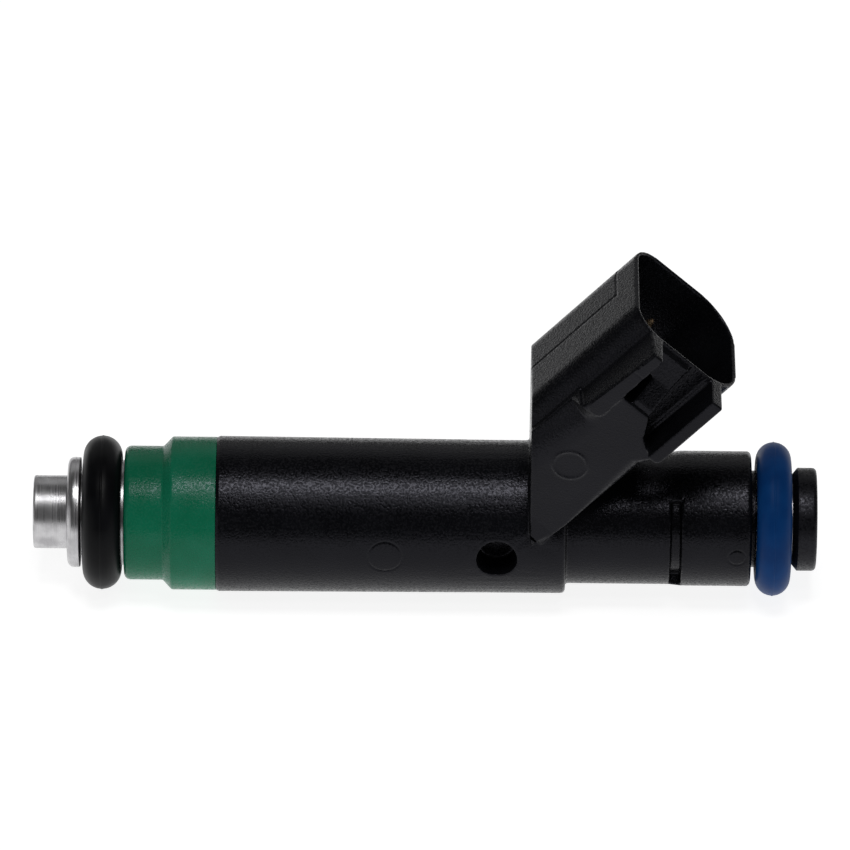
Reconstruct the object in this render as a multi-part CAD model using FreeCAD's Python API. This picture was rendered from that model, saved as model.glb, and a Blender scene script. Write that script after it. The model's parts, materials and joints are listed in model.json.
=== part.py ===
import FreeCAD, Part
import math
import os

from FreeCAD import Vector

# Fuel injector, millimetres.  The injector's axis lies along X with the nozzle towards -X and the
# fuel inlet towards +X.  The plug socket leans up and towards the inlet, in the XZ plane.  The origin
# is on the axis, at the middle of the lower sealing ring, where the injector sits in the manifold.
# Stations are distances along the axis from the tip face.

SEAL_FROM_TIP = 6.53

# Nozzle body
TIP_RADIUS = 3.475
FLANGE_RADIUS = 5.1
FLANGE_START = 3.25
FLANGE_END = 4.35
NECK_RADIUS = 3.68
SHOULDER_RADIUS = 5.0
SHOULDER_START = 8.3
COLLAR_RADIUS = 4.6
COLLAR_START = 12.5
NOZZLE_END = 16.0
NOZZLE_BORE = 2.4

# Sealing rings, usual 7.5 x 3.55 mm
RING_SECTION = 3.58
RING_CROWN = 7.3
RAIL_RING_FROM_TIP = 70.25

# Green cap
CAP_START = 8.65
CAP_NOSE_RADIUS = 6.37
CAP_NOSE_END = 12.25
CAP_TAPER_END = 13.1
CAP_RADIUS = 7.28

# Barrel, moulded round everything
BARREL_START = 17.4
BARREL_RADIUS = 7.32
BARREL_END = 50.55
BARREL_END_RADIUS = 7.26
UPPER_RADIUS = 6.3
UPPER_TOP_RADIUS = 6.42
UPPER_END = 68.1
RING_STOP_RADIUS = 4.6
RING_STOP_END = 68.6
CLIP_GROOVE_START = 60.42
CLIP_GROOVE_END = 61.47
CLIP_GROOVE_DEPTH = 1.1
CLIP_GROOVE_SPAN = 99.5
VENT_FROM_TIP = 44.0
VENT_RADIUS = 1.9
VENT_FLOOR = 4.2

# Plug socket: leans from the axis, its mouth's middle is at MOUTH_FROM_TIP, MOUTH_HEIGHT
SOCKET_LEAN = 47.1
MOUTH_FROM_TIP = 61.5
MOUTH_HEIGHT = 22.64
SOCKET_HEIGHT = 12.96
SOCKET_WIDTH = 13.5
SOCKET_TOP_CORNER = 3.0
SOCKET_BOTTOM_CORNER = 4.5
SOCKET_LATCH_CORNER = 4.0
SOCKET_WALL = 1.0
SOCKET_LIP = 0.35
SOCKET_DEPTH = 9.5
SOCKET_BACK = 8.75
SOCKET_REAR_FROM_TIP = 47.07

# Web that carries the socket; its latch side flares away from the barrel, up to the latch rails
WEB_BOTTOM = -4.4
WEB_TOP = 5.05
WEB_TOP_FALL = 0.3
RAIL_TOP = 4.8
RAIL_TOP_FALL = 0.5
RAIL_REAR = 9.4
FLARE_START = 24.3
FLARE_NEAR_BARREL = 7.2
FLARE_AT_MOUTH = 10.2
UPPER_RAIL_FRONT = 3.15
UPPER_RAIL_REAR = 2.5
LOWER_RAIL = (-4.5, -3.2)
LOWER_RAIL_ROUND = 0.5
POCKET_REAR = 5.85
RAMP_LOW = -0.6
RAMP_HIGH = 1.65
RAMP_START = (0.45, 7.3)
RAMP_FOOT = (2.92, 7.95)
RAMP_CREST = (5.35, 9.2)
SIDE_RIB_HEIGHT = -3.0
SIDE_RIB = 0.16

# Terminals
BLADE = 0.64
BLADE_SIDE = 2.1
BLADE_HEIGHT = 1.3
BLADE_TIP = 3.1
BLADE_KNEE_FROM_TIP = 49.5
BLADE_LOW = 4.7
BLADE_END_FROM_TIP = 33.8

# Fuel tubes
TUBE_RADIUS = 3.7
TUBE_BORE = 3.2
GUIDE_TUBE_START = 13.0
GUIDE_TUBE_END = 34.0
INLET_BORE = 3.0
INLET_MOUTH_START = 68.6
INLET_MOUTH_RADIUS = 3.2
INLET_TUBE_END = 74.0
RETAINER_START = 72.05
RETAINER_RADIUS = 4.9
RETAINER_CHAMFER = 0.63
RETAINER_END = 74.35

# Coil
CAN_START = 13.6
CAN_FLOOR_END = 14.6
CAN_END = 36.0
CAN_RADIUS = 6.45
CAN_BORE = 5.65
WASHER_START = 34.6
BOBBIN_START = 16.4
BOBBIN_FLANGE = 0.8
BOBBIN_RADIUS = 5.6
SPOOL_RADIUS = 4.3
WINDING_RADIUS = 5.45
WINDING_END = 33.4

# Valve
PLATE_START = 0.45
PLATE_END = 0.6
SEAT_RADIUS = 2.9
SEAT_END = 2.9
SEAT_BORE = 0.7
SEAT_GAP = 0.02
GUIDE_END = 3.5
LIFT_RING_END = 3.8
BALL_RADIUS = 1.6
BALL_FROM_TIP = 3.1
NEEDLE_RADIUS = 1.2
NEEDLE_BORE = 0.7
NEEDLE_END = 22.0
ARMATURE_START = 17.5
ARMATURE_END = 25.5
ARMATURE_RADIUS = 3.15
LIFT_GAP = 0.17
POLE_END = 44.0
SPRING_BORE = 1.7
SPRING_RADIUS = 1.6
SPRING_WIRE = 0.5
SPRING_END = 32.0
SPRING_TURNS = 8
ADJUSTER_END = 42.0
ADJUSTER_BORE = 1.1
METERING_HOLES = 4
METERING_HOLE_RADIUS = 0.15
METERING_CIRCLE = 0.45

# Filter
FILTER_START = 60.0
FILTER_RIM_START = 67.0
FILTER_RADIUS = 2.5
FILTER_WALL = 0.45
FILTER_RIBS = 4

FAR = 60.0
NEAR = 0.01
ORIGIN = Vector(0, 0, 0)
ALONG = Vector(1, 0, 0)
SIDEWAYS = Vector(0, 1, 0)


def station(from_tip):
    """X of a place given by its distance from the tip face."""
    return from_tip - SEAL_FROM_TIP


def turned(*outline, sweep=360):
    """Solid turned about the injector's axis from (distance from tip, radius) points."""
    points = [Vector(station(along), 0, radius) for along, radius in outline]
    face = Part.Face(Part.makePolygon(points + points[:1]))
    return face.revolve(ORIGIN, ALONG, sweep)


def sleeve(start, end, outer, inner=0.0):
    """Plain tube, or a bar when it has no bore."""
    return turned((start, inner), (end, inner), (end, outer), (start, outer))


def hole_along(start, end, radius, out, turn):
    """Small bar parallel to the axis, `out` from it and turned `turn` degrees from the top."""
    bar = Part.makeCylinder(radius, end - start, Vector(station(start), 0, out), ALONG)
    bar.rotate(ORIGIN, ALONG, turn)
    return bar


def round_rims(shape, radius, *rims):
    """Round the circular rims at each (distance from tip, rim radius)."""
    chosen = []
    for edge in shape.Edges:
        if not isinstance(edge.Curve, Part.Circle):
            continue
        for along, rim in rims:
            centre = edge.Curve.Center
            on_axis = abs(centre.y) < NEAR and abs(centre.z) < NEAR
            at_rim = abs(centre.x - station(along)) < NEAR and abs(edge.Curve.Radius - rim) < NEAR
            if on_axis and at_rim:
                chosen.append(edge)
    return shape.makeFillet(radius, chosen)


def o_ring(from_tip):
    section = RING_SECTION / 2
    return Part.makeTorus(RING_CROWN - section, section, Vector(station(from_tip), 0, 0), ALONG)


# ---------------------------------------------------------------- valve and nozzle

def nozzle_body():
    body = turned(
        (0, SEAT_RADIUS), (0, TIP_RADIUS), (FLANGE_START, TIP_RADIUS), (FLANGE_START, FLANGE_RADIUS),
        (FLANGE_END, FLANGE_RADIUS), (FLANGE_END, NECK_RADIUS), (SHOULDER_START, NECK_RADIUS),
        (SHOULDER_START, SHOULDER_RADIUS), (CAP_START, SHOULDER_RADIUS), (CAP_START, NECK_RADIUS),
        (COLLAR_START, NECK_RADIUS), (COLLAR_START, COLLAR_RADIUS), (NOZZLE_END, COLLAR_RADIUS),
        (NOZZLE_END, TUBE_RADIUS), (GUIDE_TUBE_START, TUBE_RADIUS), (GUIDE_TUBE_START, NOZZLE_BORE),
        (LIFT_RING_END, NOZZLE_BORE), (LIFT_RING_END, SEAT_RADIUS),
    )
    body = round_rims(body, 0.2, (0, TIP_RADIUS))
    return round_rims(body, 0.3, (FLANGE_START, FLANGE_RADIUS))


def orifice_plate():
    plate = sleeve(PLATE_START, PLATE_END, SEAT_RADIUS)
    for hole in range(METERING_HOLES):
        turn = hole * 360 / METERING_HOLES
        bar = hole_along(0, SEAT_END, METERING_HOLE_RADIUS, METERING_CIRCLE, turn)
        plate = plate.cut(bar)
    return plate


def valve_seat():
    """Seat whose 45 degree cone the ball closes on."""
    touch = BALL_RADIUS * math.sin(math.radians(45))
    cone_start = BALL_FROM_TIP - touch - (touch - SEAT_BORE) - SEAT_GAP
    cone_end = cone_start + SPRING_BORE - SEAT_BORE
    return turned(
        (PLATE_END, SEAT_BORE), (cone_start, SEAT_BORE), (cone_end, SPRING_BORE),
        (SEAT_END, SPRING_BORE), (SEAT_END, SEAT_RADIUS), (PLATE_END, SEAT_RADIUS),
    )


def lower_guide():
    """Disc that keeps the ball central and lets fuel past through four notches."""
    disc = sleeve(SEAT_END, GUIDE_END, SEAT_RADIUS, BALL_RADIUS + 0.05)
    for notch in range(4):
        disc = disc.cut(hole_along(0, NEEDLE_END, 0.5, 1.8, 45 + notch * 90))
    return disc


def lift_ring():
    return sleeve(GUIDE_END, LIFT_RING_END, SEAT_RADIUS, NOZZLE_BORE)


def ball():
    return Part.makeSphere(BALL_RADIUS, Vector(station(BALL_FROM_TIP), 0, 0))


def needle():
    """Hollow stem, dished to the ball and drilled across for the fuel."""
    stem = sleeve(BALL_FROM_TIP + 0.8, NEEDLE_END, NEEDLE_RADIUS, NEEDLE_BORE).cut(ball())
    for along in (6.5, 9.0, 15.5):
        start = Vector(station(along), -NEEDLE_RADIUS * 2, 0)
        stem = stem.cut(Part.makeCylinder(0.4, NEEDLE_RADIUS * 4, start, SIDEWAYS))
    return stem


def armature():
    return turned(
        (ARMATURE_START, NEEDLE_RADIUS), (NEEDLE_END, NEEDLE_RADIUS), (NEEDLE_END, SPRING_BORE),
        (ARMATURE_END, SPRING_BORE), (ARMATURE_END, ARMATURE_RADIUS),
        (ARMATURE_START, ARMATURE_RADIUS),
    )


def return_spring():
    """Closed coil spring between the needle's end and the adjusting tube."""
    half_wire = SPRING_WIRE / 2
    start = NEEDLE_END + half_wire
    length = SPRING_END - half_wire - start
    mean = SPRING_RADIUS - half_wire
    helix = Part.makeHelix(length / SPRING_TURNS, length, mean)
    circle = Part.Circle(Vector(mean, 0, 0), SIDEWAYS, half_wire)
    section = Part.Wire([circle.toShape()])
    coil = Part.Wire(helix.Edges).makePipeShell([section], True, True)
    coil.rotate(ORIGIN, SIDEWAYS, 90)
    coil.translate(Vector(station(start), 0, 0))
    return coil


def pole_piece():
    return turned(
        (ARMATURE_END + LIFT_GAP, SPRING_BORE), (POLE_END, SPRING_BORE), (POLE_END, INLET_BORE),
        (GUIDE_TUBE_END, INLET_BORE), (GUIDE_TUBE_END, TUBE_BORE),
        (ARMATURE_END + LIFT_GAP, TUBE_BORE),
    )


def adjusting_tube():
    return sleeve(SPRING_END, ADJUSTER_END, SPRING_BORE, ADJUSTER_BORE)


def guide_tube():
    return sleeve(GUIDE_TUBE_START, GUIDE_TUBE_END, TUBE_RADIUS, TUBE_BORE)


# ---------------------------------------------------------------- coil

def strip(path, thickness):
    """Flat outline of a bent strip that follows a path in the XZ plane, with mitred bends."""
    half = thickness / 2
    one_side = []
    other_side = []
    for index, point in enumerate(path):
        before = (point - path[max(index - 1, 0)]).normalize() if index else None
        after = (path[index + 1] - point).normalize() if index + 1 < len(path) else None
        before = before or after
        after = after or before
        normals = [Vector(-way.z, 0, way.x) for way in (before, after)]
        mitre = normals[0] + normals[1]
        mitre = mitre * (2 * half / mitre.Length ** 2)
        one_side.append(point + mitre)
        other_side.append(point - mitre)
    outline = one_side + other_side[::-1]
    return Part.Face(Part.makePolygon(outline + outline[:1]))


def terminal(side):
    """Blade from the plug socket back to the barrel, down beside the tube and along to the coil."""
    tip = in_socket(-BLADE_TIP, BLADE_HEIGHT)
    knee_x = station(BLADE_KNEE_FROM_TIP)
    knee_z = tip.z - (tip.x - knee_x) * math.tan(math.radians(SOCKET_LEAN))
    path = [
        tip, Vector(knee_x, 0, knee_z), Vector(knee_x, 0, BLADE_LOW),
        Vector(station(BLADE_END_FROM_TIP), 0, BLADE_LOW),
    ]
    blade = strip(path, BLADE).extrude(SIDEWAYS * BLADE)
    blade.translate(SIDEWAYS * (side * BLADE_SIDE - BLADE / 2))
    return blade


def terminal_notches():
    """Room for both terminals through the flux washer."""
    start = Vector(station(WASHER_START) - 1, -3.2, TUBE_RADIUS + 0.2)
    return Part.makeBox(CAN_END - WASHER_START + 2, 6.4, CAN_BORE, start)


def solenoid_can():
    return turned(
        (CAN_START, COLLAR_RADIUS), (CAN_FLOOR_END, COLLAR_RADIUS), (CAN_FLOOR_END, CAN_BORE),
        (CAN_END, CAN_BORE), (CAN_END, CAN_RADIUS), (CAN_START, CAN_RADIUS),
    )


def flux_washer():
    return sleeve(WASHER_START, CAN_END, CAN_BORE, TUBE_RADIUS).cut(terminal_notches())


def coil_bobbin():
    spool = turned(
        (BOBBIN_START, TUBE_RADIUS), (WASHER_START, TUBE_RADIUS), (WASHER_START, BOBBIN_RADIUS),
        (WINDING_END, BOBBIN_RADIUS), (WINDING_END, SPOOL_RADIUS),
        (BOBBIN_START + BOBBIN_FLANGE, SPOOL_RADIUS),
        (BOBBIN_START + BOBBIN_FLANGE, BOBBIN_RADIUS), (BOBBIN_START, BOBBIN_RADIUS),
    )
    return spool.cut(terminal(-1)).cut(terminal(1))


def coil_winding():
    return sleeve(BOBBIN_START + BOBBIN_FLANGE, WINDING_END, WINDING_RADIUS, SPOOL_RADIUS)


# ---------------------------------------------------------------- fuel inlet

def inlet_tube():
    return turned(
        (GUIDE_TUBE_END, INLET_BORE), (INLET_MOUTH_START, INLET_BORE),
        (INLET_MOUTH_START, INLET_MOUTH_RADIUS), (INLET_TUBE_END, INLET_MOUTH_RADIUS),
        (INLET_TUBE_END, TUBE_RADIUS), (GUIDE_TUBE_END, TUBE_RADIUS),
    )


def inlet_filter():
    """Moulded basket: a rim pressed into the tube, four ribs and a closed end."""
    rim = sleeve(FILTER_RIM_START, INLET_MOUTH_START, INLET_BORE, FILTER_RADIUS - FILTER_WALL)
    end = sleeve(FILTER_START, FILTER_START + 1, FILTER_RADIUS)
    basket = rim.fuse(end)
    length = FILTER_RIM_START - FILTER_START + 0.5
    out = FILTER_RADIUS - FILTER_WALL
    for rib in range(FILTER_RIBS):
        bar = Part.makeBox(length, 0.8, FILTER_WALL, Vector(station(FILTER_START + 0.5), -0.4, out))
        bar.rotate(ORIGIN, ALONG, rib * 360 / FILTER_RIBS)
        basket = basket.fuse(bar)
    return basket.removeSplitter()


def filter_mesh():
    inside = FILTER_RADIUS - FILTER_WALL - 0.02
    return sleeve(FILTER_START + 1, INLET_MOUTH_START, inside, inside - 0.12)


def inlet_retainer():
    chamfer_end = RETAINER_START + 0.45
    collar = turned(
        (RETAINER_START, TUBE_RADIUS), (RETAINER_END, TUBE_RADIUS), (RETAINER_END, RETAINER_RADIUS),
        (chamfer_end, RETAINER_RADIUS), (RETAINER_START, RETAINER_RADIUS - RETAINER_CHAMFER),
    )
    return round_rims(collar, 0.2, (RETAINER_END, RETAINER_RADIUS))


# ---------------------------------------------------------------- mouldings

def nose_cap():
    cap = turned(
        (CAP_START, NECK_RADIUS), (CAP_START, CAP_NOSE_RADIUS), (CAP_NOSE_END, CAP_NOSE_RADIUS),
        (CAP_TAPER_END, CAP_RADIUS), (BARREL_START, CAP_RADIUS), (BARREL_START, CAN_RADIUS),
        (CAN_START, CAN_RADIUS), (CAN_START, COLLAR_RADIUS), (COLLAR_START, COLLAR_RADIUS),
        (COLLAR_START, NECK_RADIUS),
    )
    return round_rims(cap, 0.45, (CAP_START, CAP_NOSE_RADIUS))


def barrel():
    body = turned(
        (BARREL_START, CAN_RADIUS), (BARREL_START, BARREL_RADIUS), (BARREL_END, BARREL_END_RADIUS),
        (BARREL_END, UPPER_RADIUS), (CLIP_GROOVE_START, UPPER_RADIUS),
        (CLIP_GROOVE_END, UPPER_TOP_RADIUS), (UPPER_END, UPPER_TOP_RADIUS),
        (UPPER_END, RING_STOP_RADIUS), (RING_STOP_END, RING_STOP_RADIUS),
        (RING_STOP_END, TUBE_RADIUS), (CAN_END, TUBE_RADIUS), (CAN_END, CAN_RADIUS),
    )
    return round_rims(body, 0.4, (BARREL_END, BARREL_END_RADIUS), (UPPER_END, UPPER_TOP_RADIUS))


def clip_groove(side):
    """One of the two curved slots that the rail clip's legs slide into."""
    floor = UPPER_RADIUS - CLIP_GROOVE_DEPTH
    slot = turned(
        (CLIP_GROOVE_START, floor), (CLIP_GROOVE_START, BARREL_RADIUS),
        (CLIP_GROOVE_END, BARREL_RADIUS), (CLIP_GROOVE_END, floor), sweep=CLIP_GROOVE_SPAN,
    )
    slot.rotate(ORIGIN, ALONG, side * 90 - CLIP_GROOVE_SPAN / 2)
    return slot


def vent(side):
    """Round hole left by the pin that held the core in the mould."""
    start = Vector(station(VENT_FROM_TIP), side * VENT_FLOOR, 0)
    return Part.makeCylinder(VENT_RADIUS, BARREL_RADIUS, start, SIDEWAYS * side)


# ---------------------------------------------------------------- plug socket
# Drawn in its own frame: X out of the mouth, Z up its height, origin in the middle of the mouth.

def in_place(shape):
    shape.rotate(ORIGIN, SIDEWAYS, -SOCKET_LEAN)
    shape.translate(Vector(station(MOUTH_FROM_TIP), 0, MOUTH_HEIGHT))
    return shape


def in_socket(out, up):
    """Place of a point that is `out` of the mouth and `up` its height."""
    lean = math.radians(SOCKET_LEAN)
    x = station(MOUTH_FROM_TIP) + out * math.cos(lean) - up * math.sin(lean)
    return Vector(x, 0, MOUTH_HEIGHT + out * math.sin(lean) + up * math.cos(lean))


def housing_block(length, start, inset):
    """Block with the socket's section, `inset` inside its outline."""
    height = SOCKET_HEIGHT - 2 * inset
    width = SOCKET_WIDTH - 2 * inset
    block = Part.makeBox(length, width, height, Vector(start, -width / 2, -height / 2))
    corners = (
        (1, -1, SOCKET_TOP_CORNER), (1, 1, SOCKET_TOP_CORNER),
        (-1, -1, SOCKET_LATCH_CORNER), (-1, 1, SOCKET_BOTTOM_CORNER),
    )
    for up, side, corner in corners:
        edges = [
            edge for edge in block.Edges
            if up * edge.CenterOfMass.z > height / 2 - NEAR
            and side * edge.CenterOfMass.y > width / 2 - NEAR
            and abs(edge.tangentAt(edge.FirstParameter).x) > 0.9
        ]
        block = block.makeFillet(corner - inset, edges)
    return block


def plan_prism(low, high, outline):
    """Prism over an outline of (out, sideways) points, between two heights."""
    points = [Vector(out, side, low) for out, side in outline]
    return Part.Face(Part.makePolygon(points + points[:1])).extrude(Vector(0, 0, high - low))


def side_prism(near, far, outline):
    """Prism over an outline of (out, up) points, between two distances to the -Y side."""
    points = [Vector(out, -far, up) for out, up in outline]
    return Part.Face(Part.makePolygon(points + points[:1])).extrude(Vector(0, far - near, 0))


def ledge_block(start, end, top, fall):
    """Length of the web, `top` high inside the housing and `fall` lower at the mouth's flare."""
    inside = 1 - SOCKET_WIDTH / 2
    outline = [
        (inside, WEB_BOTTOM), (-FLARE_AT_MOUTH, WEB_BOTTOM), (-FLARE_AT_MOUTH, top - fall),
        (inside, top),
    ]
    points = [Vector(start, side, up) for side, up in outline]
    return Part.Face(Part.makePolygon(points + points[:1])).extrude(Vector(end - start, 0, 0))


def flare_block():
    """Wedge on the latch side, from the barrel out to the mouth, lower along the latch rail."""
    inside = 1 - SOCKET_WIDTH / 2
    wedge = plan_prism(WEB_BOTTOM, WEB_TOP, [
        (-FLARE_START, inside), (-FLARE_START, -FLARE_NEAR_BARREL), (0, -FLARE_AT_MOUTH),
        (0, inside),
    ])
    web = ledge_block(-FLARE_START, -RAIL_REAR, WEB_TOP, WEB_TOP_FALL)
    rail = ledge_block(-RAIL_REAR, 0, RAIL_TOP, RAIL_TOP_FALL)
    return wedge.common(web.fuse(rail))


def latch_pocket():
    """What is cut from the wedge, down to the housing, to leave two rails."""
    rail_slope = (UPPER_RAIL_FRONT - UPPER_RAIL_REAR) / SOCKET_BACK
    rail_at_pocket = UPPER_RAIL_FRONT - rail_slope * POCKET_REAR
    return side_prism(SOCKET_WIDTH / 2, FAR / 2, [
        (0, UPPER_RAIL_FRONT), (-POCKET_REAR, rail_at_pocket), (-POCKET_REAR, RAMP_LOW),
        (-7.98, -2.05), (-SOCKET_BACK, LOWER_RAIL[1]), (0, LOWER_RAIL[1]),
    ])


def lock_ramp():
    """Ramp that the plug's latch rides up, with a gap beside the upper rail."""
    inside = 1 - SOCKET_WIDTH / 2
    start, foot, crest = [(-back, -side) for back, side in (RAMP_START, RAMP_FOOT, RAMP_CREST)]
    rear = -POCKET_REAR - 0.2
    ramp = plan_prism(RAMP_LOW, RAMP_HIGH, [
        (start[0], inside), start, foot, crest, (rear, crest[1]), (rear, inside),
    ])
    lead_in = plan_prism(RAMP_LOW, UPPER_RAIL_FRONT + 0.2, [
        (start[0], inside), start, foot, (foot[0], inside),
    ])
    return ramp.fuse(lead_in)


def lower_rail():
    """Lower rail, rounded at its rear end."""
    low, high = LOWER_RAIL
    turn = LOWER_RAIL_ROUND
    rear = -SOCKET_BACK
    return side_prism(2, FLARE_AT_MOUTH + 0.2, [
        (0, low), (0, high), (rear, high), (rear, low + turn), (rear + turn * 0.3, low + turn * 0.3),
        (rear + turn, low),
    ])


def side_rib():
    side = SOCKET_WIDTH / 2
    return side_prism(side - 0.5, side + SIDE_RIB, [
        (-0.3, SIDE_RIB_HEIGHT), (-0.3, SIDE_RIB_HEIGHT + SIDE_RIB),
        (-SOCKET_BACK, SIDE_RIB_HEIGHT + SIDE_RIB), (-SOCKET_BACK, SIDE_RIB_HEIGHT),
    ])


def socket_body():
    """Housing and the web that joins it to the barrel."""
    mouth_part = housing_block(SOCKET_BACK, -SOCKET_BACK, 0)
    upper_part = housing_block(FAR, -FAR, 0)
    above_web = Part.makeBox(FAR, FAR, FAR, Vector(-FAR, -FAR / 2, WEB_BOTTOM))
    web = Part.makeBox(
        FAR - SOCKET_BACK, SOCKET_WIDTH, 1 - WEB_BOTTOM,
        Vector(-FAR, -SOCKET_WIDTH / 2, WEB_BOTTOM))
    body = mouth_part.fuse(upper_part.common(above_web)).fuse(web)
    body = body.fuse(flare_block().cut(latch_pocket()))
    body = body.fuse(lock_ramp()).fuse(lower_rail()).fuse(side_rib())
    body = in_place(body)
    room = Part.makeBox(
        FAR, FAR, FAR, Vector(station(SOCKET_REAR_FROM_TIP), -FAR / 2, 0))
    return body.common(room)


def socket_section(out, inset):
    """Outline of the socket's section, `out` of the mouth and `inset` inside its wall."""
    block = housing_block(1, out - 1, inset)
    face = max(block.Faces, key=lambda side: side.CenterOfMass.x)
    return face.OuterWire


def socket_cavity():
    """Room for the plug, which opens out from the full wall to a thin lip at the mouth."""
    draft = (SOCKET_WALL - SOCKET_LIP) / SOCKET_DEPTH
    sections = [
        socket_section(-SOCKET_DEPTH, SOCKET_WALL), socket_section(1, SOCKET_LIP - draft)]
    return in_place(Part.makeLoft(sections, True, True))


def overmold():
    core = sleeve(CAN_END - 1, RING_STOP_END + 1, TUBE_RADIUS)
    body = barrel().fuse(socket_body().cut(core))
    body = body.cut(socket_cavity())
    for side in (-1, 1):
        body = body.cut(clip_groove(side)).cut(vent(side))
        body = body.cut(terminal(side))
    return body.removeSplitter()


def build():
    return {
        "nozzle_body": nozzle_body(),
        "orifice_plate": orifice_plate(),
        "valve_seat": valve_seat(),
        "lower_guide": lower_guide(),
        "lift_ring": lift_ring(),
        "ball": ball(),
        "needle": needle(),
        "armature": armature(),
        "return_spring": return_spring(),
        "pole_piece": pole_piece(),
        "adjusting_tube": adjusting_tube(),
        "guide_tube": guide_tube(),
        "solenoid_can": solenoid_can(),
        "flux_washer": flux_washer(),
        "coil_bobbin": coil_bobbin(),
        "coil_winding": coil_winding(),
        "terminal_left": terminal(-1),
        "terminal_right": terminal(1),
        "inlet_tube": inlet_tube(),
        "inlet_filter": inlet_filter(),
        "filter_mesh": filter_mesh(),
        "inlet_retainer": inlet_retainer(),
        "nose_cap": nose_cap(),
        "overmold": overmold(),
        "manifold_oring": o_ring(SEAL_FROM_TIP),
        "rail_oring": o_ring(RAIL_RING_FROM_TIP),
    }


os.makedirs("parts", exist_ok=True)
for name, shape in build().items():
    shape.exportStep(f"parts/{name}.step")
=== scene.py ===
import bpy
import bmesh
import json
import math

from mathutils import Matrix, Vector


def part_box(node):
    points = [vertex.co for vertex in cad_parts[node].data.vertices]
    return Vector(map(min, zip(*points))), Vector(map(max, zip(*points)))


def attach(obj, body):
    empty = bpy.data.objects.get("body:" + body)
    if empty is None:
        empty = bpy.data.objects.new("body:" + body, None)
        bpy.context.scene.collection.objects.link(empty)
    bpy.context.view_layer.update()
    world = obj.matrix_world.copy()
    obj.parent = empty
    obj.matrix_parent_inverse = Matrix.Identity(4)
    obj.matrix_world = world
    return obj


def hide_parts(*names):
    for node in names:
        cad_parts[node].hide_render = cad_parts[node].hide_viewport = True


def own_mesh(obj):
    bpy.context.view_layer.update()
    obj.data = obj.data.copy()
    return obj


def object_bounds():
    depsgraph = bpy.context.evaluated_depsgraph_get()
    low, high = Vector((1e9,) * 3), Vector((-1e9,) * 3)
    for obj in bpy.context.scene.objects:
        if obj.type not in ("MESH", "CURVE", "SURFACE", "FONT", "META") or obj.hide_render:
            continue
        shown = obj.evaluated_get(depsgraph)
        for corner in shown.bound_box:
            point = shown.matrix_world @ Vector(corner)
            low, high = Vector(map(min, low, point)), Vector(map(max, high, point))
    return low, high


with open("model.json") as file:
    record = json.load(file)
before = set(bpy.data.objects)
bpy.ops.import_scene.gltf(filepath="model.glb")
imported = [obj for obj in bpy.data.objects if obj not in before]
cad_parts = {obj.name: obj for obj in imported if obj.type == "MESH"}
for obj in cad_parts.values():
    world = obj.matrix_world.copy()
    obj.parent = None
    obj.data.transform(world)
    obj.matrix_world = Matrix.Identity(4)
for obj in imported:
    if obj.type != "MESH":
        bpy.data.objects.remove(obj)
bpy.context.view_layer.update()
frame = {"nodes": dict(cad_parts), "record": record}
NODES = frame["nodes"]
SLOTS = {part["node"]: part["material_slot"] for part in frame["record"]["subparts"]}
BODY = "injector_body"

# Meshes are built in millimetres in the row frame and scaled to metres when they become pieces.
# The injector's axis is X: the nozzle tip is at low X, the fuel inlet at high X.
MM = 0.001
CLEARANCE = 0.02


def box_mm(node):
    """Lowest and highest corner of a CAD node, in millimetres."""
    low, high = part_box(node)
    return Vector(low) / MM, Vector(high) / MM


def mount(name):
    """Place in millimetres and direction of one of the record's mounts."""
    found = next(m for m in frame["record"]["mounts"] if m["name"] == name)
    return Vector(found["pos_m"]) / MM, Vector(found["axis"]).normalized()


# ---------------------------------------------------------------- camera

VIEW_ELEVATION = math.radians(34.5)
VIEW_ROLL = math.radians(0.58)
VIEW_DISTANCE = 0.9
VIEW_MIDDLE = 0.03057
VIEW_ABOVE_AXIS = 0.0086
LENS = 400.7


def make_camera():
    camera = bpy.data.objects.new("camera", bpy.data.cameras.new("camera"))
    bpy.context.scene.collection.objects.link(camera)
    bpy.context.scene.camera = camera
    back = Vector((0, -math.cos(VIEW_ELEVATION), math.sin(VIEW_ELEVATION)))
    picture_up = Vector((0, math.sin(VIEW_ELEVATION), math.cos(VIEW_ELEVATION)))
    target = Vector((VIEW_MIDDLE, 0, 0)) + picture_up * VIEW_ABOVE_AXIS
    turn = (-back).to_track_quat("-Z", "Y").to_matrix() @ Matrix.Rotation(VIEW_ROLL, 3, "Z")
    camera.matrix_world = Matrix.Translation(target + back * VIEW_DISTANCE) @ turn.to_4x4()
    camera.data.lens = LENS
    camera.data.clip_start = 0.05
    camera.data.clip_end = 20


make_camera()


# ---------------------------------------------------------------- lights and floor

WORLD_STRENGTH = 0.08
FLOOR_SIZE = 1.1
FLOOR_GAP = 0.0001
FLOOR_GREY = (0.35, 0.35, 0.35)
FLOOR_ROUGHNESS = 0.9
FLOOR_GLOW = 0.88


def area_light(name, elevation, distance, size, radiance, turn=0.0):
    """Soft box that faces the object, `elevation` degrees above the front horizon, `turn` degrees round."""
    data = bpy.data.lights.new(name, "AREA")
    data.shape = "RECTANGLE"
    data.size, data.size_y = size
    data.energy = radiance * math.pi * size[0] * size[1]
    lamp = bpy.data.objects.new(name, data)
    bpy.context.scene.collection.objects.link(lamp)
    middle = Vector((VIEW_MIDDLE, 0, 0))
    tilt = math.radians(elevation)
    way = Vector((0, -math.cos(tilt), math.sin(tilt)))
    way = Matrix.Rotation(math.radians(turn), 3, "Z") @ way
    lamp.location = middle + way * distance
    lamp.rotation_euler = (-way).to_track_quat("-Z", "Y").to_euler()


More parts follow.
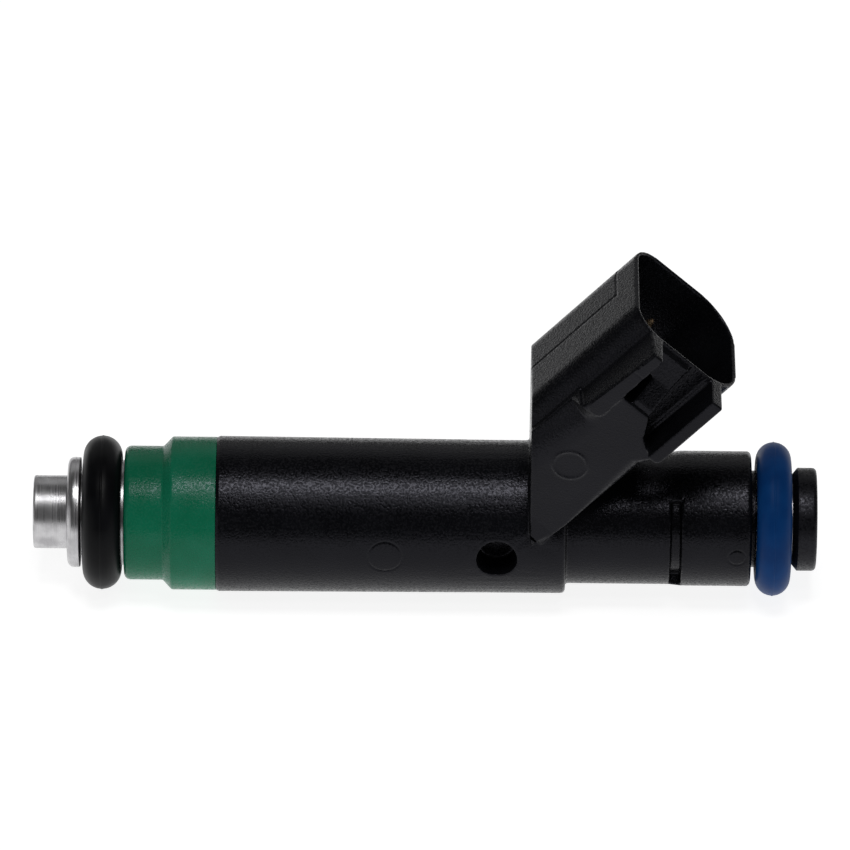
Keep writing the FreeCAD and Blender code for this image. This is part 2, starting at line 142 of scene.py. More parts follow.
def make_lights():
    area_light("top_softbox", 76, 0.6, (0.24, 0.16), 10.6)
    area_light("low_softbox", 56, 0.6, (0.10, 0.08), 9, turn=14)
    area_light("side_reflector", 13, 0.6, (0.50, 0.14), 0.75, turn=-66)
    area_light("back_reflector", 150, 0.9, (1.4, 0.6), 0.35)


def make_world():
    """Faint even light from all round, and plain display colours."""
    world = bpy.data.worlds.new("studio")
    bpy.context.scene.world = world
    world.use_nodes = True
    background = world.node_tree.nodes["Background"]
    background.inputs["Color"].default_value = (1, 1, 1, 1)
    background.inputs["Strength"].default_value = WORLD_STRENGTH
    settings = bpy.context.scene.view_settings
    settings.view_transform = "Standard"
    settings.look = "None"


def make_floor():
    """Pale table that the rings rest on."""
    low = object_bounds()[0]
    bpy.ops.mesh.primitive_plane_add(size=FLOOR_SIZE, location=(VIEW_MIDDLE, 0, low.z - FLOOR_GAP))
    floor = bpy.context.object
    floor.name = "floor"
    material, shader, _ = new_material("floor_white", FLOOR_GREY, FLOOR_ROUGHNESS)
    shader.inputs["Emission Color"].default_value = (1, 1, 1, 1)
    shader.inputs["Emission Strength"].default_value = FLOOR_GLOW
    floor.data.materials.append(material)


# ---------------------------------------------------------------- materials

# Most of a noise lies between these values
NOISE_LOW = 0.34
NOISE_HIGH = 0.66
COLOUR_STOPS = (0.35, 0.65)

# Painted light: a bluish tint on the plastics' reflections that stands in for the colour of the studio lamps
PAINTED_LAMP_TINT = (0.87, 0.86, 1.0)
BLACK = (0.0018, 0.0019, 0.0025)
SOFT_BLACK = (0.0034, 0.0036, 0.0046)
GREEN = (0.0040, 0.124, 0.059)
SOFT_GREEN = (0.006, 0.150, 0.077)
BLUE = (0.0022, 0.030, 0.125)
SOFT_BLUE = (0.003, 0.040, 0.155)
GRAIN_GLOSS_SPREAD = 0.17
STREAK_HEIGHT = 0.000012
SKIN_HEIGHT = 0.000003
TURNING_HEIGHT = 0.000006


def new_material(name, colour, roughness, specular=0.5):
    material = bpy.data.materials.new(name)
    material.use_nodes = True
    shader = material.node_tree.nodes["Principled BSDF"]
    shader.inputs["Base Color"].default_value = (*colour, 1)
    shader.inputs["Roughness"].default_value = roughness
    shader.inputs["Specular IOR Level"].default_value = specular
    return material, shader, material.node_tree


def object_noise(tree, scale, detail, stretch=(1, 1, 1)):
    """Noise over the object's own coordinates, `scale` cells to the metre."""
    place = tree.nodes.new("ShaderNodeTexCoord")
    mapping = tree.nodes.new("ShaderNodeMapping")
    mapping.inputs["Scale"].default_value = stretch
    noise = tree.nodes.new("ShaderNodeTexNoise")
    noise.inputs["Scale"].default_value = scale
    noise.inputs["Detail"].default_value = detail
    tree.links.new(place.outputs["Object"], mapping.inputs["Vector"])
    tree.links.new(mapping.outputs["Vector"], noise.inputs["Vector"])
    return noise


def spread(tree, source, low, high, shader, target):
    """Feeds a shader input from a noise, mapped to low..high."""
    node = tree.nodes.new("ShaderNodeMapRange")
    node.inputs["From Min"].default_value = NOISE_LOW
    node.inputs["From Max"].default_value = NOISE_HIGH
    node.inputs["To Min"].default_value = low
    node.inputs["To Max"].default_value = high
    tree.links.new(source.outputs[0], node.inputs["Value"])
    tree.links.new(node.outputs["Result"], shader.inputs[target])


def colour_between(tree, source, first, second, shader):
    """Base colour that wanders between two colours with a noise."""
    ramp = tree.nodes.new("ShaderNodeValToRGB")
    for element, place, colour in zip(ramp.color_ramp.elements, COLOUR_STOPS, (first, second)):
        element.position = place
        element.color = (*colour, 1)
    tree.links.new(source.outputs[0], ramp.inputs["Fac"])
    tree.links.new(ramp.outputs["Color"], shader.inputs["Base Color"])


def add_bumps(tree, shader, *layers):
    """Chains bump nodes, one for each (height source, metres high)."""
    previous = None
    for source, height in layers:
        bump = tree.nodes.new("ShaderNodeBump")
        bump.inputs["Distance"].default_value = height
        tree.links.new(source.outputs[0], bump.inputs["Height"])
        if previous:
            tree.links.new(previous.outputs["Normal"], bump.inputs["Normal"])
        previous = bump
    tree.links.new(previous.outputs["Normal"], shader.inputs["Normal"])


def moulded_plastic(name, dark, pale, roughness, specular, grain):
    """Glass-filled nylon: spark-eroded grain, slightly uneven colour and gloss, and reflections tinted with
    painted lamp colour.
    """
    material, shader, tree = new_material(name, dark, roughness, specular)
    # Painted light: the reflections take a bluish tint that stands in for the lamps' colour
    shader.inputs["Specular Tint"].default_value = (*PAINTED_LAMP_TINT, 1)
    cloud = object_noise(tree, 260, 4)
    coarse = object_noise(tree, 4800, 1)
    fine = object_noise(tree, 6500, 2)
    colour_between(tree, cloud, dark, pale, shader)
    spread(tree, coarse, roughness - GRAIN_GLOSS_SPREAD, roughness + GRAIN_GLOSS_SPREAD, shader, "Roughness")
    add_bumps(tree, shader, (coarse, grain), (fine, grain * 0.5))
    return material


def rubber(name, dark, pale, roughness, specular):
    """Moulded sealing ring: smooth skin with faint streaks round it and a little dust."""
    material, shader, tree = new_material(name, dark, roughness, specular)
    cloud = object_noise(tree, 400, 5)
    streaks = object_noise(tree, 1.0, 3, stretch=(1900, 120, 120))
    fine = object_noise(tree, 4200, 3)
    colour_between(tree, cloud, dark, pale, shader)
    spread(tree, cloud, roughness - 0.05, roughness + 0.07, shader, "Roughness")
    add_bumps(tree, shader, (streaks, STREAK_HEIGHT), (fine, SKIN_HEIGHT))
    return material


def turned_metal(name, dark, pale, roughness, rings_per_metre=9000):
    """Lathe-turned or drawn metal: fine rings across the axis."""
    material, shader, tree = new_material(name, pale, roughness)
    shader.inputs["Metallic"].default_value = 1.0
    rings = object_noise(tree, 1.0, 4, stretch=(rings_per_metre, 90, 90))
    cloud = object_noise(tree, 700, 3)
    colour_between(tree, cloud, dark, pale, shader)
    spread(tree, rings, roughness - 0.07, roughness + 0.1, shader, "Roughness")
    add_bumps(tree, shader, (rings, TURNING_HEIGHT))
    return material


MATERIALS = {
    "black_moulding": moulded_plastic("black_moulding", BLACK, SOFT_BLACK, 0.27, 0.16, 0.000026),
    "black_collar": moulded_plastic("black_collar", BLACK, SOFT_BLACK, 0.40, 0.20, 0.000010),
    "green_moulding": moulded_plastic("green_moulding", GREEN, SOFT_GREEN, 0.27, 0.16, 0.000022),
    "black_rubber": rubber("black_rubber", BLACK, SOFT_BLACK, 0.38, 0.09),
    "blue_rubber": rubber("blue_rubber", BLUE, SOFT_BLUE, 0.40, 0.06),
    "steel": turned_metal("steel", (0.38, 0.375, 0.385), (0.54, 0.535, 0.545), 0.30),
    "soft_steel": turned_metal("soft_steel", (0.40, 0.40, 0.40), (0.52, 0.52, 0.52), 0.38),
    "spring_wire": turned_metal("spring_wire", (0.40, 0.40, 0.41), (0.55, 0.55, 0.56), 0.30),
    "mesh": turned_metal("mesh", (0.45, 0.45, 0.45), (0.6, 0.6, 0.6), 0.40, 14000),
    "natural_moulding": moulded_plastic(
        "natural_moulding", (0.50, 0.46, 0.37), (0.58, 0.54, 0.45), 0.45, 0.4, 0.000012),
    "copper_wire": turned_metal("copper_wire", (0.60, 0.24, 0.10), (0.78, 0.36, 0.18), 0.30, 5000),
    "terminal_metal": turned_metal("terminal_metal", (0.78, 0.55, 0.34), (0.92, 0.74, 0.50), 0.30),
}


# ---------------------------------------------------------------- mesh helpers

SEGMENTS = 256
FULL_TURN = 2 * math.pi


def rounded_outline(points, steps=5):
    """Outline of (x, radius, corner) points with each corner turned into an arc of that size."""
    path = []
    for index, (x, r, corner) in enumerate(points):
        here = Vector((x, r))
        if corner == 0 or index in (0, len(points) - 1):
            path.append(here)
            continue
        to_last = (Vector(points[index - 1][:2]) - here).normalized()
        to_next = (Vector(points[index + 1][:2]) - here).normalized()
        half = to_last.angle(to_next) / 2
        centre = here + (to_last + to_next).normalized() * (corner / math.sin(half))
        spoke = here + to_last * (corner / math.tan(half)) - centre
        turn = to_last.angle_signed(to_next)
        sweep = math.copysign(math.pi - abs(turn), turn)
        for step in range(steps + 1):
            path.append(centre + Matrix.Rotation(sweep * step / steps, 2) @ spoke)
    return path


def stepped(start, end, step):
    """Evenly spaced values from start to end, no further apart than step."""
    count = max(1, math.ceil(abs(end - start) / step))
    return [start + (end - start) * index / count for index in range(count + 1)]


def even_turns(segments=SEGMENTS):
    return [FULL_TURN * index / segments for index in range(segments)]


def turns_with_detail(centre, half_width, fine):
    """Angles round the axis, closer together within half_width of centre."""
    near = stepped(centre - half_width, centre + half_width, fine)
    far = stepped(centre + half_width, centre - half_width + FULL_TURN, FULL_TURN / SEGMENTS)
    return near + far[1:-1]


def lathe(outline, closed=False, turns=None):
    """Mesh turned about the injector's axis; angles are from +Z towards +Y."""
    mesh = bmesh.new()
    rows = []
    for angle in turns or even_turns():
        side, up = math.sin(angle), math.cos(angle)
        rows.append([mesh.verts.new((p.x, p.y * side, p.y * up)) for p in outline])
    for row, following in zip(rows, rows[1:] + rows[:1]):
        ends = row + row[:1] if closed else row
        next_ends = following + following[:1] if closed else following
        for a, b, c, d in zip(ends, ends[1:], next_ends[1:], next_ends):
            mesh.faces.new((a, b, c, d))
    bmesh.ops.recalc_face_normals(mesh, faces=mesh.faces)
    return mesh


def scratch_object(name, mesh):
    """Object for building with, from a bmesh."""
    data = bpy.data.meshes.new(name)
    mesh.to_mesh(data)
    mesh.free()
    thing = bpy.data.objects.new(name, data)
    bpy.context.scene.collection.objects.link(thing)
    return thing


def cad_copy(node):
    """Scratch object with a CAD node's mesh, in millimetres."""
    mesh = bmesh.new()
    mesh.from_mesh(NODES[node].data)
    bmesh.ops.scale(mesh, vec=Vector((1, 1, 1)) / MM, verts=mesh.verts)
    return scratch_object(node + "_copy", mesh)


def bake(thing):
    """Applies an object's modifiers."""
    bpy.context.view_layer.update()
    shown = thing.evaluated_get(bpy.context.evaluated_depsgraph_get())
    data = bpy.data.meshes.new_from_object(shown)
    thing.modifiers.clear()
    thing.data = data


def modify(thing, kind, **settings):
    """Adds a modifier with these settings and applies it."""
    modifier = thing.modifiers.new(kind.lower(), kind)
    for name, value in settings.items():
        setattr(modifier, name, value)
    bake(thing)


def combine(thing, other, operation):
    """Exact boolean of two scratch objects; the second one is used up."""
    modify(thing, "BOOLEAN", operation=operation, object=other, solver="EXACT")
    bpy.data.objects.remove(other)


def block(low, high):
    """Box between two corners, for cutting with."""
    mesh = bmesh.new()
    bmesh.ops.create_cube(mesh, size=1)
    size = Vector(high) - Vector(low)
    middle = (Vector(high) + Vector(low)) / 2
    place = Matrix.Translation(middle) @ Matrix.Diagonal((*size, 1))
    bmesh.ops.transform(mesh, matrix=place, verts=mesh.verts)
    return scratch_object("block", mesh)


def join(name, things):
    """One object made of several, which are used up."""
    mesh = bmesh.new()
    for thing in things:
        mesh.from_mesh(thing.data)
        bpy.data.objects.remove(thing)
    return scratch_object(name, mesh)


def piece(thing, node, angle=35):
    """Finishes a scratch object as the visible shape of a CAD node."""
    slot = SLOTS[node]
    thing.name = node + "_shape"
    thing.data.transform(Matrix.Scale(MM, 4))
    thing.data.materials.clear()
    thing.data.materials.append(MATERIALS[slot])
    thing.data.shade_smooth()
    thing.data.set_sharp_from_angle(angle=math.radians(angle))
    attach(thing, BODY)
    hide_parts(node)


# ---------------------------------------------------------------- nozzle and cap

NECK_RADIUS = 3.68
COLLAR_RADIUS = 4.6
CAN_RADIUS = 6.45

TIP_LENGTH = 3.25
TIP_RADIUS = 3.475
FLANGE_WIDTH = 1.2
FLANGE_RADIUS = 5.24
SHOULDER_WIDTH = 0.35
SHOULDER_RADIUS = 5.0
COLLAR_START = 3.85
PASSAGE_RADIUS = 2.4

CAP_NECK_LENGTH = 3.66
CAP_NECK_RADIUS = 6.37
CAP_SLOPE = 0.85
CAN_START = 1.35
CAP_WALL = 0.25


def nozzle():
    """Turned steel nozzle: tip, flange, groove for the seal, shoulder, and the part in the cap."""
    tip, end = box_mm("nozzle_body")[0].x, box_mm("nozzle_body")[1].x
    seat = box_mm("valve_seat")[1].z + CLEARANCE
    tube = box_mm("guide_tube")
    recess = box_mm("lift_ring")[1].x
    cap = box_mm("nose_cap")[0].x
    flange = tip + TIP_LENGTH
    groove = flange + FLANGE_WIDTH
    shoulder = cap - SHOULDER_WIDTH
    collar = cap + COLLAR_START
    outline = rounded_outline([
        (tip, seat, 0), (tip, TIP_RADIUS, 0.22), (flange, TIP_RADIUS, 0.12), (flange, FLANGE_RADIUS, 0.6),
        (groove, FLANGE_RADIUS, 0.12), (groove, NECK_RADIUS, 0.1), (shoulder, NECK_RADIUS, 0.05),
        (shoulder, SHOULDER_RADIUS, 0.06), (cap, SHOULDER_RADIUS, 0.02), (cap, NECK_RADIUS, 0),
        (collar, NECK_RADIUS, 0), (collar, COLLAR_RADIUS - CLEARANCE, 0),
        (end, COLLAR_RADIUS - CLEARANCE, 0.1), (end, tube[1].z + CLEARANCE, 0),
        (tube[0].x, tube[1].z + CLEARANCE, 0), (tube[0].x, PASSAGE_RADIUS, 0),
        (recess, PASSAGE_RADIUS, 0), (recess, seat, 0),
    ])
    piece(scratch_object("nozzle", lathe(outline, closed=True)), "nozzle_body", 40)


def nose_cap():
    """Green moulding over the front of the coil, with a step down to the seal."""
    (start, _, _), (end, _, radius) = box_mm("nose_cap")
    step = start + CAP_NECK_LENGTH
    outline = rounded_outline([
        (start, NECK_RADIUS + CLEARANCE, 0), (start, CAP_NECK_RADIUS, 0.58), (step, CAP_NECK_RADIUS, 0.3),
        (step + CAP_SLOPE, radius, 0.3), (end - CLEARANCE, radius, 0.06),
        (end - CLEARANCE, CAN_RADIUS + CLEARANCE, 0), (step + CAN_START, CAN_RADIUS + CLEARANCE, 0),
        (step + CAN_START, COLLAR_RADIUS, 0), (step + CAP_WALL, COLLAR_RADIUS, 0),
        (step + CAP_WALL, NECK_RADIUS + CLEARANCE, 0),
    ], 6)
    piece(scratch_object("cap", lathe(outline, closed=True)), "nose_cap", 50)


# ---------------------------------------------------------------- rings and retainer

PARTING_WIDTH = 0.07
PARTING_DEPTH = 0.06
FLASH_HEIGHT = 0.05
RING_SEGMENTS = 56
MANIFOLD_RING_SECTION = 3.66
RAIL_RING_SECTION = 3.34

RETAINER_CHAMFER = 0.63
RETAINER_CHAMFER_WIDTH = 0.5
RETAINER_WALL = 0.8


def sealing_ring(node, section):
    """O-ring with the fine flash that its mould leaves round the crown."""
    low, high = box_mm(node)
    middle = (low.x + high.x) / 2
    radius = section / 2
    spine = high.z - radius
    fine = [side * PARTING_WIDTH * step / 2 / radius for side in (-1, 1) for step in range(1, 6)]
    even = [angle for angle in even_turns(RING_SEGMENTS) if min(angle, FULL_TURN - angle) > max(fine) + 0.02]
    outline = []
    for angle in sorted([0.0] + fine + even):
        arc = min(angle % FULL_TURN, -angle % FULL_TURN) * radius
        reach = radius + FLASH_HEIGHT * math.exp(-(arc / PARTING_WIDTH) ** 2)
        outline.append(Vector((middle + reach * math.sin(angle), spine + reach * math.cos(angle))))
    piece(scratch_object("ring", lathe(outline, closed=True)), node, 60)


def retainer():
    """Collar that keeps the rail ring on: chamfered towards the ring, rounded at the end."""
    (start, _, _), (end, _, radius) = box_mm("inlet_retainer")
    bore = box_mm("inlet_tube")[1].z + CLEARANCE
    outline = rounded_outline([
        (start, bore, 0), (start, radius - RETAINER_CHAMFER, 0.08),
        (start + RETAINER_CHAMFER_WIDTH, radius, 0.12),
        (end, radius, 0.4), (end, bore, 0.1), (start + RETAINER_WALL, bore, 0),
    ])
    piece(scratch_object("retainer", lathe(outline, closed=True)), "inlet_retainer", 40)


# ---------------------------------------------------------------- plug socket frame

MOUTH, OUTWARD = mount("connector_socket")
UPWARD = Vector((-OUTWARD.z, 0, OUTWARD.x))
SOCKET_LEAN = math.atan2(OUTWARD.z, OUTWARD.x)


def socket_place(point):
    """Distances of a point out of the socket's mouth, up its height, and towards +Y."""
    away = point - MOUTH
    return away.dot(OUTWARD), away.dot(UPWARD), point.y


# ---------------------------------------------------------------- black moulding

SEAM_FRONT = 34.6
SEAM_REAR = 56.0
SEAM_STRIP = 0.12
CLEAR_OF_BARREL = 8.5
VOXEL = 0.12
SOFTENING = 7
BORE_RADIUS = 3.7
BARREL_RADIUS = 7.38
BARREL_TAPER = 0.10 / 23.7
UPPER_RADIUS = 6.42
FRONT_EDGE_RADIUS = 7.27
FRONT_EDGE_WIDTH = 0.28
FRONT_EDGE_RISE = 0.01
FRONT_EDGE_END = 0.9
STOP_WIDTH = 0.5
STOP_RADIUS = 4.6
FINE_STEP = 0.07
NEAR_BORE = BORE_RADIUS + 1

# Where the blades turn up towards the socket, and the blocks that fill their channels
KNEE_X = 42.97
PLUG_MARGIN = 0.1
PLUG_OVERLAP = 1.5
PLUG_REACH = 0.4
PLUG_HALF = 0.42
PLUG_TOP = 11

# Box with room for the whole socket
ROOM_SIDE = 14
ROOM_LOW = -9
ROOM_TOP = 32
ROOM_END = 70

# Web and latch rails, in the socket's frame: distances out of the mouth, up its height, and -Y
FLARE_LENGTH = 24.3
FLARE_NEAR_BARREL = 7.2
FLARE_AT_MOUTH = 10.2
NEAR_SIDE = 6.9
WEB_BOTTOM = -4.4
WEB_TOP = 4.9
WEB_END = -8.75
WEB_ROUND = 1.6
WEB_ROUND_FROM_END = 0.8
WEB_ROUND_FROM_TIP = 0.15
WEB_SHOULDER = 3.2
WEB_SHOULDER_FADE = 1.0
WEB_TIP_START = -22.3
WEB_TIP_RISE = 0.18
WEB_TIP_SIDE = 7.42
WEB_TIP_BEVEL = 0.3
HOUSING_SIDE = 6.75
SOCKET_REAR = 40.62
ROOF_HEIGHT = 6.48
ROOF_LINE_END = -2.7
ROOF_LINE_SIDE = 0.5
ROOF_LINE_REACH = 4.0
ROOF_STEP = 0.03
RAIL_REAR = -9.4
RAIL_TOP = 4.38
RAIL_LOW_REAR = 2.5
RAIL_LOW_SLOPE = 0.65 / 8.75
RAIL_BEVEL = 0.14
RAIL_RISE = 0.14
RAIL_LINE = -2.85
RING_MARK = (-15.3, 0.5, 1.6)
RING_MARK_WIDTH = 0.13
RING_MARK_RISE = 0.11

# Round marks that the mould's pins leave on the near side: place along X, height Z, radius
FRONT_PIN_MARK = (26.9, 0.2, 1.62)
REAR_PIN_MARK = (60.2, -0.1, 0.83)
PIN_MARK_MARGIN = 0.4
PIN_MARK_WIDTH = 0.09
PIN_MARK_DEPTH = 0.07


def press_ring(mesh, mark):
    """Sinks a fine circular groove into the -Y side of a mesh, outside the bore."""
    x, z, radius = mark
    for vert in mesh.verts:
        off = math.hypot(vert.co.x - x, vert.co.z - z) - radius
        if vert.co.y < -NEAR_BORE and abs(off) < 3 * PIN_MARK_WIDTH:
            vert.co.y += PIN_MARK_DEPTH * math.exp(-(off / PIN_MARK_WIDTH) ** 2)


def turns_round(mark, radius):
    """Angles for a turned surface that carries a pin mark on its -Y side."""
    x, z, size = mark
    return turns_with_detail(-math.acos(z / radius), (size + PIN_MARK_MARGIN) / radius, FINE_STEP / radius)


def barrel_radius(x):
    """The long barrel's radius, which shrinks slightly towards the socket."""
    return BARREL_RADIUS - BARREL_TAPER * (x - box_mm("overmold")[0].x)


def barrel_front():
    """Long barrel up to the plug socket."""
    start = box_mm("overmold")[0].x
    can_end = box_mm("solenoid_can")[1].x + CLEARANCE
    end = SEAM_FRONT - SEAM_STRIP
    mark = FRONT_PIN_MARK
    outline = rounded_outline([
        (end, BORE_RADIUS, 0), (can_end, BORE_RADIUS, 0), (can_end, CAN_RADIUS + CLEARANCE, 0),
        (start, CAN_RADIUS + CLEARANCE, 0), (start, FRONT_EDGE_RADIUS, 0.04),
        (start + FRONT_EDGE_WIDTH, BARREL_RADIUS + FRONT_EDGE_RISE, 0.15),
        (start + FRONT_EDGE_END, BARREL_RADIUS, 0),
    ], 3)
    near, far = mark[0] - mark[2] - PIN_MARK_MARGIN, mark[0] + mark[2] + PIN_MARK_MARGIN
    for x in stepped(near, far, FINE_STEP) + [end]:
        outline.append(Vector((x, barrel_radius(x))))
    mesh = lathe(outline, turns=turns_round(mark, BARREL_RADIUS))
    press_ring(mesh, mark)
    return scratch_object("barrel_front", mesh)


def barrel_rear():
    """Thinner end, with the stop for the rail ring."""
    end = box_mm("overmold")[1].x
    start = SEAM_REAR + SEAM_STRIP
    mark = REAR_PIN_MARK
    stop = end - STOP_WIDTH
    outline = [Vector((start, UPPER_RADIUS))]
    for x in stepped(mark[0] - mark[2] - PIN_MARK_MARGIN, mark[0] + mark[2] - 0.05, FINE_STEP):
        outline.append(Vector((x, UPPER_RADIUS)))
    outline += rounded_outline([
        (mark[0] + mark[2], UPPER_RADIUS, 0), (stop, UPPER_RADIUS, 0.4), (stop, STOP_RADIUS, 0.1),
        (end, STOP_RADIUS, 0.1), (end, BORE_RADIUS + CLEARANCE, 0), (start, BORE_RADIUS, 0),
    ], 4)
    mesh = lathe(outline, turns=turns_round(mark, UPPER_RADIUS))
    press_ring(mesh, mark)
    return scratch_object("barrel_rear", mesh)


def channel_plugs():
    """Fills the channels of the buried parts of the blades, which no one sees."""
    plugs = []
    for node in ("terminal_left", "terminal_right"):
        low, high = box_mm(node)
        left, right = low.y - PLUG_MARGIN, high.y + PLUG_MARGIN
        bottom = low.z - PLUG_MARGIN
        top = low.z + high.y - low.y + PLUG_MARGIN
        plugs.append(block((SEAM_FRONT - PLUG_OVERLAP, left, bottom), (KNEE_X + PLUG_REACH, right, top)))
        plugs.append(block((KNEE_X - PLUG_HALF, left, bottom), (KNEE_X + PLUG_HALF, right, PLUG_TOP)))
    return plugs


def socket_middle():
    """The plug socket and the barrel round it: the CAD shape with its edges softened."""
    thing = cad_copy("overmold")
    room = block((SEAM_FRONT - 1, -ROOM_SIDE, ROOM_LOW), (ROOM_END, ROOM_SIDE, ROOM_TOP))
    combine(thing, room, "INTERSECT")
    rear_barrel = block((SEAM_REAR + 1, -ROOM_SIDE, ROOM_LOW), (ROOM_END + 1, ROOM_SIDE, CLEAR_OF_BARREL))
    combine(thing, rear_barrel, "DIFFERENCE")
    thing = join("socket", [thing] + channel_plugs())
    lean = Matrix.Rotation(SOCKET_LEAN, 4, "Y")
    thing.data.transform(lean)
    modify(thing, "REMESH", mode="VOXEL", voxel_size=VOXEL)
    modify(thing, "SMOOTH", factor=0.5, iterations=SOFTENING)
    thing.data.transform(lean.inverted())
    return thing


def latch_face(out):
    """Y of the web's flat near side, which flares out towards the mouth."""
    return -(FLARE_AT_MOUTH - (FLARE_AT_MOUTH - FLARE_NEAR_BARREL) * -out / FLARE_LENGTH)


def lower_edge_radius(out):
    """The web's lower edge is sharp at the latch rail and at the web's tip, and round between them."""
    return min(WEB_ROUND, (WEB_END - out) * WEB_ROUND_FROM_END, (out - WEB_TIP_START) * WEB_ROUND_FROM_TIP)


def ease_edge(vert, away_from_ledge, radius):
    """Rounds the edge between the web's lower ledge and its near side."""
    behind = vert.co.y - latch_face(socket_place(vert.co)[0])
    nearest, farthest = sorted((away_from_ledge, behind))
    away = Vector((away_from_ledge - radius, behind - radius))
    if -VOXEL < nearest and farthest < radius < away.length:
        moved = away * (radius / away.length) - away
        vert.co += UPWARD * moved.x
        vert.co.y += moved.y


def blend_shoulder(vert, out, up):
    """Brings the web's top edge gently back to the side of the housing, behind the latch rail."""
    step = -HOUSING_SIDE - latch_face(out)
    behind = vert.co.y - latch_face(out)
    down = WEB_TOP + VOXEL - up
    if -VOXEL < behind < step and -VOXEL < down < WEB_SHOULDER:
        fade = min((RAIL_REAR - out) / WEB_SHOULDER_FADE, 1)
        drop = step * (1 - max(down, 0) / WEB_SHOULDER) ** 2
        vert.co.y += fade * drop * (1 - max(behind, 0) / step)


def fill_web_tip(vert, out, up):
    """Keeps the web's near side proud of the barrel, down to the socket's rear face."""
    bottom = WEB_BOTTOM + WEB_TIP_RISE * (WEB_TIP_START - out)
    if out < WEB_TIP_START and up > bottom and vert.co.x > SOCKET_REAR and vert.normal.y < -0.8:
        fill = min((up - bottom) / WEB_TIP_BEVEL, 1)
        vert.co.y += fill * min(-WEB_TIP_SIDE - vert.co.y, 0)


def raise_rail(vert, out, up):
    """The upper latch rail stands proud of the web, is round at its rear end, and has a line across."""
    radius = (RAIL_TOP - RAIL_LOW_REAR) / 2
    end = max(RAIL_REAR + radius - out, 0)
    low = RAIL_LOW_REAR + RAIL_LOW_SLOPE * max(out - WEB_END, 0)
    edge = radius - math.hypot(end, up - RAIL_TOP + radius) if end else up - low
    rise = min(max(edge / RAIL_BEVEL, 0), 1)
    line = math.exp(-((out - RAIL_LINE) / PARTING_WIDTH) ** 2)
    vert.co.y -= rise * (RAIL_RISE - line * PARTING_DEPTH)


def raise_ring_mark(vert, out, up):
    """Plain raised ring on the web's near side."""
    off = math.hypot(out - RING_MARK[0], up - RING_MARK[1]) - RING_MARK[2]
    vert.co.y -= RING_MARK_RISE * math.exp(-(off / RING_MARK_WIDTH) ** 2)


def roof_parting_line(vert, out):
    """Where the two halves of the mould met, with a slight step."""
    beyond = vert.co.y - ROOF_LINE_SIDE
    distances = []
    if out < ROOF_LINE_END:
        distances.append(abs(beyond))
    if 0 < beyond < ROOF_LINE_REACH:
        distances.append(abs(out - ROOF_LINE_END))
    for off in distances:
        vert.co -= UPWARD * (PARTING_DEPTH * math.exp(-(off / PARTING_WIDTH) ** 2))
    if beyond > 0 and out < ROOF_LINE_END:
        vert.co += UPWARD * ROOF_STEP


def mark_socket(thing):
    """Small features of the plug socket, moved into its mesh."""
    mesh = bmesh.new()
    mesh.from_mesh(thing.data)
    mesh.normal_update()
    for vert in mesh.verts:
        out, up, side = socket_place(vert.co)
        outer = side - latch_face(out) < 0.15 and side < -NEAR_SIDE
        if outer and vert.normal.y < -0.9 and up < WEB_TOP + 0.1:
            raise_rail(vert, out, up)
            raise_ring_mark(vert, out, up)
        if out < RAIL_REAR and side < -NEAR_SIDE + WEB_ROUND:
            ease_edge(vert, up - WEB_BOTTOM, lower_edge_radius(out))
            fill_web_tip(vert, out, up)
            blend_shoulder(vert, out, up)
        if vert.normal.dot(UPWARD) > 0.9 and up > ROOF_HEIGHT - 0.2:
            roof_parting_line(vert, out)
    mesh.to_mesh(thing.data)
    mesh.free()


def cut_at_seams(thing):
    """Cuts the middle off square where the turned ends of the barrel take over."""
    mesh = bmesh.new()
    mesh.from_mesh(thing.data)
    for place, outward in ((SEAM_FRONT, -1), (SEAM_REAR, 1)):
        low = [v for v in mesh.verts if v.co.z < CLEAR_OF_BARREL]
        edges = {edge for v in low for edge in v.link_edges}
        faces = {face for v in low for face in v.link_faces}
        bmesh.ops.bisect_plane(mesh, geom=[*low, *edges, *faces], plane_co=(place, 0, 0),
                               plane_no=(outward, 0, 0), clear_outer=True)
    mesh.to_mesh(thing.data)
    mesh.free()


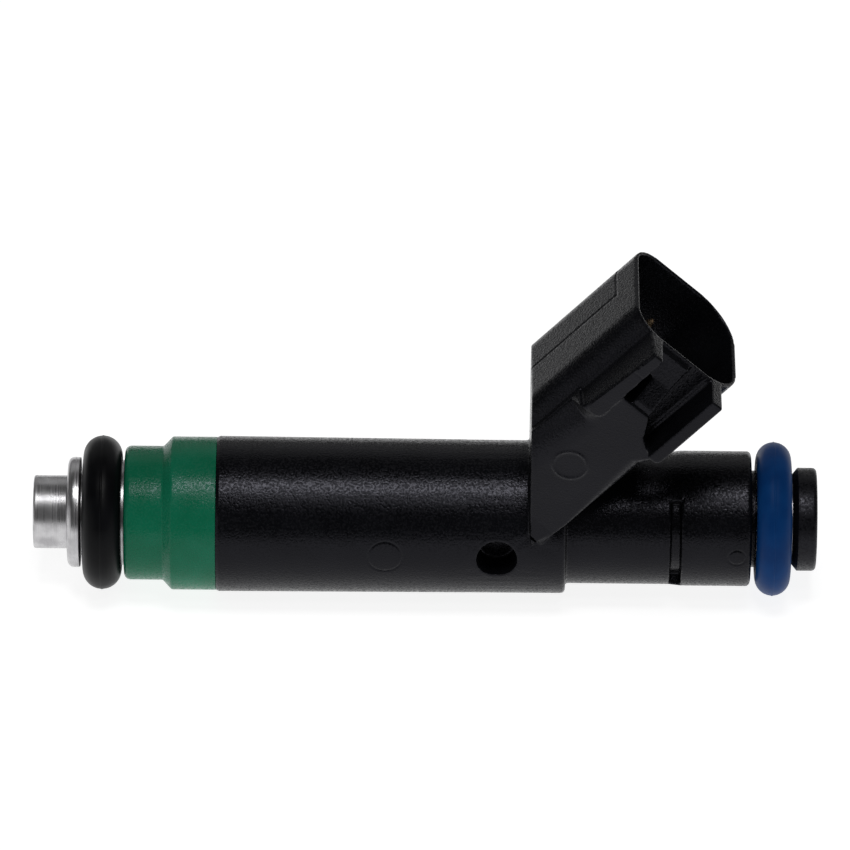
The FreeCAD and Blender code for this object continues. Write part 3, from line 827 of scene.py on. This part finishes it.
def close_seams(thing):
    """Bridges the turned ends to the middle, outside and in the bore."""
    mesh = bmesh.new()
    mesh.from_mesh(thing.data)
    for seam in (SEAM_FRONT, SEAM_REAR):
        for inside in (True, False):
            rim = []
            for edge in mesh.edges:
                middle = (edge.verts[0].co + edge.verts[1].co) / 2
                in_bore = math.hypot(middle.y, middle.z) < NEAR_BORE
                if edge.is_boundary and abs(middle.x - seam) < 2 * SEAM_STRIP and in_bore == inside:
                    rim.append(edge)
            bmesh.ops.bridge_loops(mesh, edges=rim)
    bmesh.ops.recalc_face_normals(mesh, faces=mesh.faces)
    mesh.to_mesh(thing.data)
    mesh.free()


def overmold():
    """The black moulding, with its turned ends bridged to the socket."""
    middle = socket_middle()
    mark_socket(middle)
    cut_at_seams(middle)
    thing = join("overmold", [barrel_front(), middle, barrel_rear()])
    close_seams(thing)
    piece(thing, "overmold")


# ---------------------------------------------------------------- return spring

def spring():
    """The return spring: a copy of the CAD coil, finished as a piece with its own mesh."""
    thing = cad_copy("return_spring")
    piece(thing, "return_spring")
    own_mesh(thing)


# ---------------------------------------------------------------- terminals

BLADE_TAPER = 0.6
BLADE_TIP_SCALE = 0.35
BLADE_EDGE = 0.18


def terminal(node):
    """Blade with a tapered tip and eased edges."""
    thing = cad_copy(node)
    mesh = bmesh.new()
    mesh.from_mesh(thing.data)
    tip = max(socket_place(vert.co)[0] for vert in mesh.verts)
    bmesh.ops.bisect_plane(mesh, geom=[*mesh.verts, *mesh.edges, *mesh.faces],
                           plane_co=MOUTH + OUTWARD * (tip - BLADE_TAPER), plane_no=OUTWARD)
    ends = [vert for vert in mesh.verts if socket_place(vert.co)[0] > tip - 0.1]
    middle = sum((vert.co for vert in ends), Vector()) / len(ends)
    for vert in ends:
        vert.co = middle + (vert.co - middle) * BLADE_TIP_SCALE
    mesh.to_mesh(thing.data)
    mesh.free()
    modify(thing, "BEVEL", width=BLADE_EDGE, segments=3, limit_method="ANGLE")
    piece(thing, node)


# ---------------------------------------------------------------- whole scene

for name, node in NODES.items():
    node.data.materials.clear()
    node.data.materials.append(MATERIALS[SLOTS[name]])

nozzle()
nose_cap()
overmold()
sealing_ring("manifold_oring", MANIFOLD_RING_SECTION)
sealing_ring("rail_oring", RAIL_RING_SECTION)
retainer()
spring()
terminal("terminal_left")
terminal("terminal_right")

make_lights()
make_world()
make_floor()
